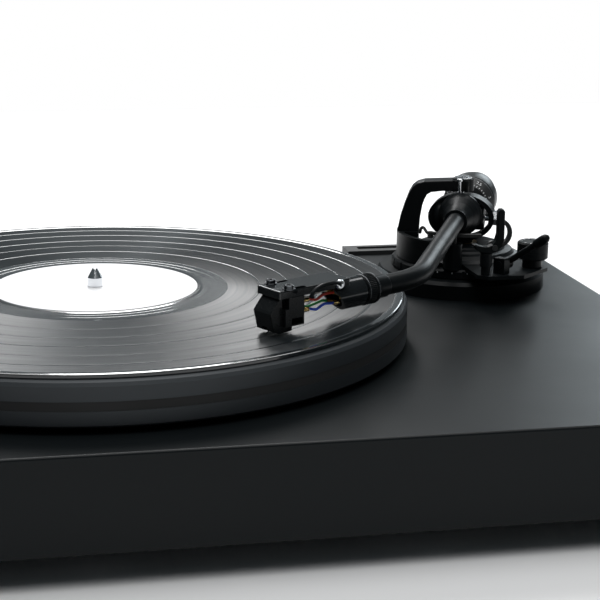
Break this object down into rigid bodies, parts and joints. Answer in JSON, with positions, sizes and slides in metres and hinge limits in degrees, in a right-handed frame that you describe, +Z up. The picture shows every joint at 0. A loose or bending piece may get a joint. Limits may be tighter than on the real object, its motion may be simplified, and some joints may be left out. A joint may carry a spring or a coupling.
{
  "type": "turntable record player",
  "caption": "Black belt-drive record player with a J-shaped tonearm, a record on its platter and a stepped tonearm base on a slab plinth.",
  "frame": {"origin": "on the surface it stands on, under the centre of its outline", "axes": "+X towards the tonearm side, on the right, +Y to the back, +Z up"},
  "size_m": [0.45, 0.352, 0.117],
  "materials": {
    "body": "satin",
    "moulding": "matte",
    "foot_shell": "gloss",
    "rubber": "matte",
    "steel": "satin",
    "alloy": "satin",
    "bronze": "satin",
    "chrome": "polished",
    "platter": "satin",
    "vinyl": "gloss",
    "paper": "matte",
    "circuit": "satin",
    "contacts": "polished",
    "arm_black": "satin",
    "weight_black": "satin",
    "leads": "satin"
  },
  "bodies": {
    "root": {"plinth": "body", "bottom_cover": "moulding", "feet": "foot_shell", "foot_pads": "rubber", "base_screws": "steel", "main_bearing_housing": "alloy", "bearing_bushes": "bronze", "deck_screws": "steel", "motor": "steel", "motor_plate": "steel", "motor_grommets": "rubber", "drive_belt": "rubber", "preamp_board": "circuit", "board_components": "moulding", "jack_panel": "moulding", "rca_jacks": "contacts", "power_inlet": "moulding", "ground_terminal": "contacts", "rear_screws": "steel", "cover_hinge_holders": "moulding", "speed_switch": "moulding", "arm_base": "arm_black", "arm_base_nut": "alloy"},
    "platter": {"platter": "platter", "spindle": "chrome", "thrust_ball": "chrome", "record": "vinyl", "record_label": "paper"},
    "pulley": {"motor_pulley": "alloy", "motor_shaft": "steel"},
    "speed_knob": {"speed_knob": "arm_black"},
    "height_ring": {"height_ring": "arm_black"},
    "arm_lift": {"arm_column": "arm_black", "arm_platform": "arm_black", "yaw_bush": "bronze", "bearing_arch": "arm_black", "upper_bearing_screw": "chrome", "armrest": "arm_black"},
    "gimbal": {"gimbal_ring": "arm_black", "pitch_pivot_screws": "chrome", "pitch_lock_nut": "chrome"},
    "tonearm": {"pivot_housing": "arm_black", "arm_tube": "arm_black", "headshell": "arm_black", "finger_lift": "arm_black", "headshell_screws": "chrome", "cartridge": "moulding", "stylus": "moulding", "signal_pins": "contacts", "lead_wires": "leads"},
    "locking_collar": {"locking_collar": "arm_black"},
    "weight_sleeve": {"counterweight_sleeve": "alloy"},
    "counterweight": {"counterweight": "weight_black"},
    "force_dial": {"tracking_force_dial": "moulding"},
    "cue_lever": {"cue_lever": "arm_black"},
    "lift_bar": {"lift_bar": "rubber"},
    "skating_dial": {"anti_skating_dial": "arm_black"},
    "armrest_clip": {"armrest_clip": "moulding"},
    "preamp_slider": {"preamp_switch_slider": "moulding"}
  },
  "joints": [
    {"name": "platter_spin", "type": "hinge", "parent": "root", "child": "platter", "pos_m": [-0.0565, -0.001, 0.069], "axis": [0, 0, 1], "continuous": true},
    {"name": "pulley_spin", "type": "hinge", "parent": "root", "child": "pulley", "pos_m": [-0.1739, 0.1164, 0.066], "axis": [0, 0, 1], "continuous": true},
    {"name": "speed_select", "type": "hinge", "parent": "root", "child": "speed_knob", "pos_m": [-0.15, -0.146, 0.062], "axis": [0, 0, 1], "range_deg": [-45, 45]},
    {"name": "arm_height", "type": "slide", "parent": "root", "child": "arm_lift", "axis": [0, 0, 1], "range_m": [0, 0.006]},
    {"name": "height_ring_turn", "type": "hinge", "parent": "root", "child": "height_ring", "pos_m": [0.1565, 0.082, 0.0685], "axis": [0, 0, 1], "range_deg": [0, 120]},
    {"name": "arm_yaw", "type": "hinge", "parent": "arm_lift", "child": "gimbal", "pos_m": [0.1565, 0.082, 0.0965], "axis": [0, 0, 1], "range_deg": [-17, 20.85]},
    {"name": "arm_pitch", "type": "hinge", "parent": "gimbal", "child": "tonearm", "pos_m": [0.1565, 0.082, 0.0939], "axis": [-0.9074, 0.4202, 0], "range_deg": [0, 2.5]},
    {"name": "collar_turn", "type": "hinge", "parent": "tonearm", "child": "locking_collar", "pos_m": [0.06115, -0.07568, 0.09298], "axis": [-0.8833, -0.4686, -0.0153], "range_deg": [0, 90]},
    {"name": "weight_slide", "type": "slide", "parent": "tonearm", "child": "weight_sleeve", "axis": [0.4202, 0.9072, 0.0192], "range_m": [-0.004, 0.004]},
    {"name": "weight_turn", "type": "hinge", "parent": "weight_sleeve", "child": "counterweight", "pos_m": [0.1752, 0.12237, 0.09735], "axis": [0.4202, 0.9072, 0.0192], "range_deg": [-720, 720]},
    {"name": "force_dial_turn", "type": "hinge", "parent": "counterweight", "child": "force_dial", "pos_m": [0.1673, 0.10532, 0.09699], "axis": [0.4202, 0.9072, 0.0192], "continuous": true},
    {"name": "cue_lever_turn", "type": "hinge", "parent": "arm_lift", "child": "cue_lever", "pos_m": [0.1621, 0.0272, 0.0782], "axis": [-0.809, -0.5878, 0], "range_deg": [0, 35]},
    {"name": "lift_rise", "type": "slide", "parent": "arm_lift", "child": "lift_bar", "axis": [0, 0, 1], "range_m": [0, 0.0015]},
    {"name": "anti_skating_turn", "type": "hinge", "parent": "arm_lift", "child": "skating_dial", "pos_m": [0.1839, 0.0398, 0.084], "axis": [0, 0, 1], "range_deg": [0, 300]},
    {"name": "clip_turn", "type": "hinge", "parent": "arm_lift", "child": "armrest_clip", "pos_m": [0.15649, 0.02472, 0.0882], "axis": [0.0698, 0.9976, 0], "range_deg": [-50, 0]},
    {"name": "preamp_slide", "type": "slide", "parent": "root", "child": "preamp_slider", "axis": [1, 0, 0], "range_m": [0, 0.005]}
  ],
  "couplings": [
    {"joint": "pulley_spin", "follows": "platter_spin", "ratio": 16.316},
    {"joint": "height_ring_turn", "follows": "arm_height", "rad_per_m": 349.06},
    {"joint": "cue_lever_turn", "follows": "arm_pitch", "ratio": 13.99},
    {"joint": "lift_rise", "follows": "arm_pitch", "m_per_rad": 0.034377},
    {"joint": "weight_turn", "follows": "weight_slide", "rad_per_m": 3141.6}
  ]
}
